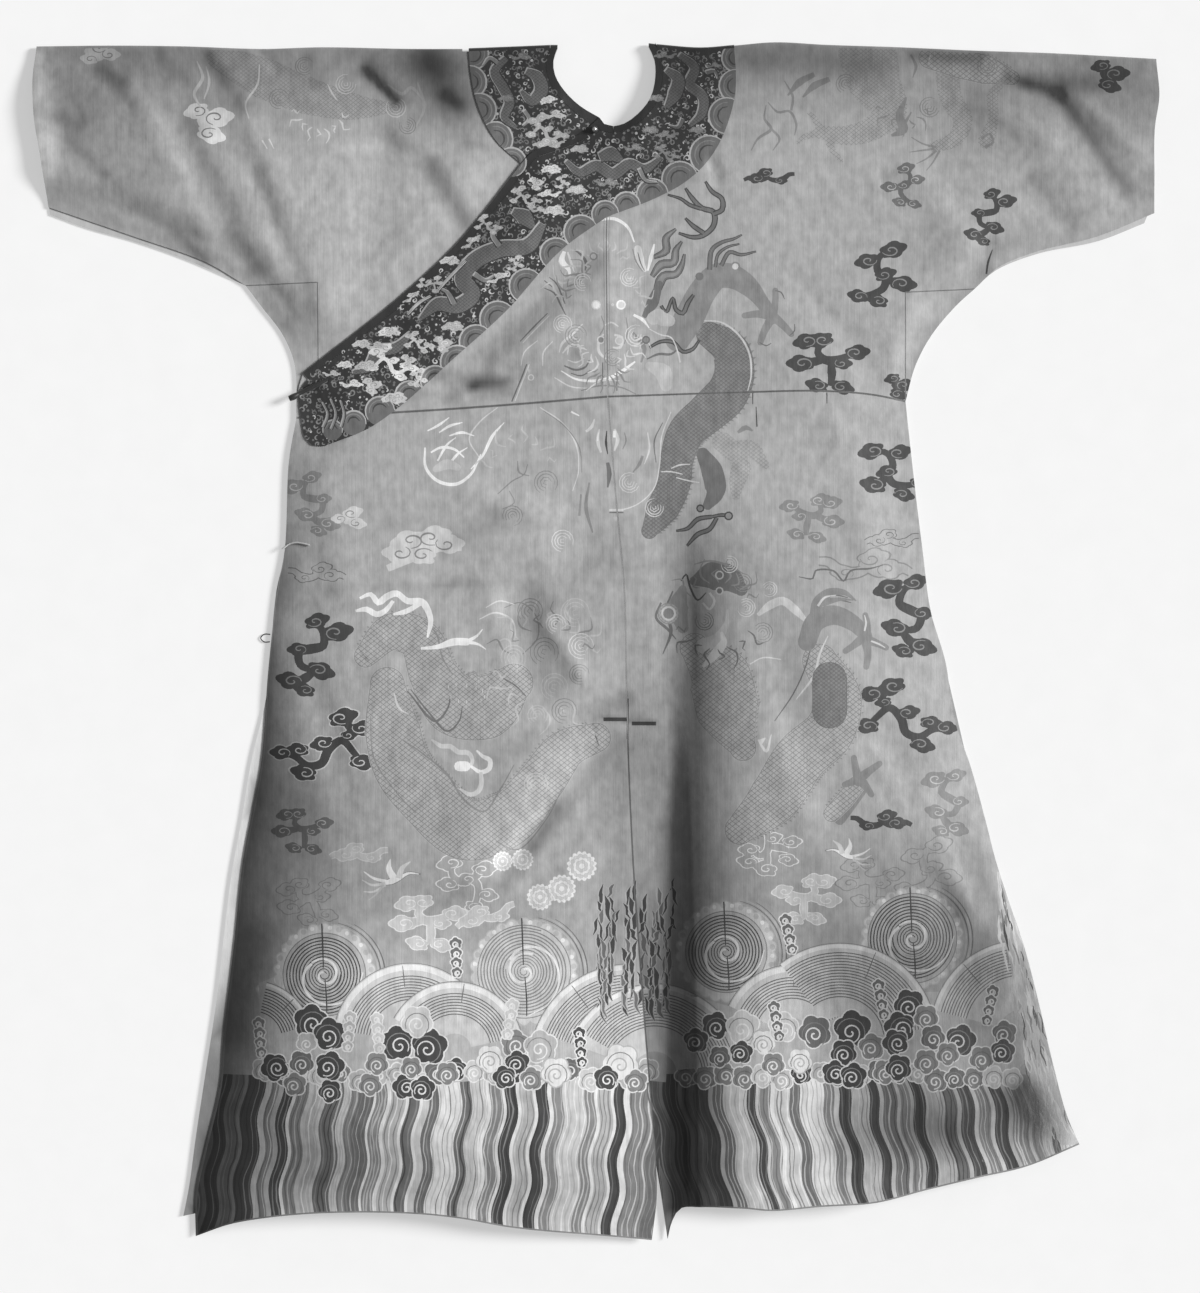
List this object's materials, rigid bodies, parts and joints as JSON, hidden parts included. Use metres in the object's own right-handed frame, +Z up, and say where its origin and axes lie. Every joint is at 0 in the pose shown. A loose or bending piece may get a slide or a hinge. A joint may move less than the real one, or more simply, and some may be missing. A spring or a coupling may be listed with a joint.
{
  "type": "chinese dragon robe",
  "caption": "Full-length Chinese dragon robe with wide sleeves, a curved front flap and a dark patterned collar band, laid flat on its back.",
  "frame": {"origin": "middle of the robe's outline, on the surface that it lies on", "axes": "+X towards the sleeve of the wearer's left arm, +Y from hem to collar, +Z up out of the front"},
  "size_m": [1.3516, 1.4381, 0.0338],
  "materials": {
    "satin": "silk satin with woven dragons, clouds, waves and stripes, soft sheen, in neutral greys",
    "inner_satin": "plain silk, soft sheen",
    "collar_silk": "dark brocade with small light clouds and grey dragons",
    "binding_silk": "plain dark silk",
    "button_metal": "dull gilt, shown in grey"
  },
  "bodies": {
    "root": {"body_and_sleeve_left": "satin", "body_and_sleeve_right": "satin", "front_overlap": "satin", "gusset_front_left": "satin", "gusset_front_right": "satin", "skirt_front_left": "satin", "skirt_front_right": "satin", "skirt_back_left": "satin", "skirt_back_right": "satin", "inner_flap": "inner_satin", "collar_left": "collar_silk", "collar_band": "collar_silk", "neck_binding_left": "binding_silk", "neck_binding_right": "binding_silk", "flap_binding": "binding_silk", "side_fastening": "binding_silk", "neck_loop": "binding_silk", "hip_loop": "inner_satin", "neck_button": "button_metal"}
  },
  "joints": []
}
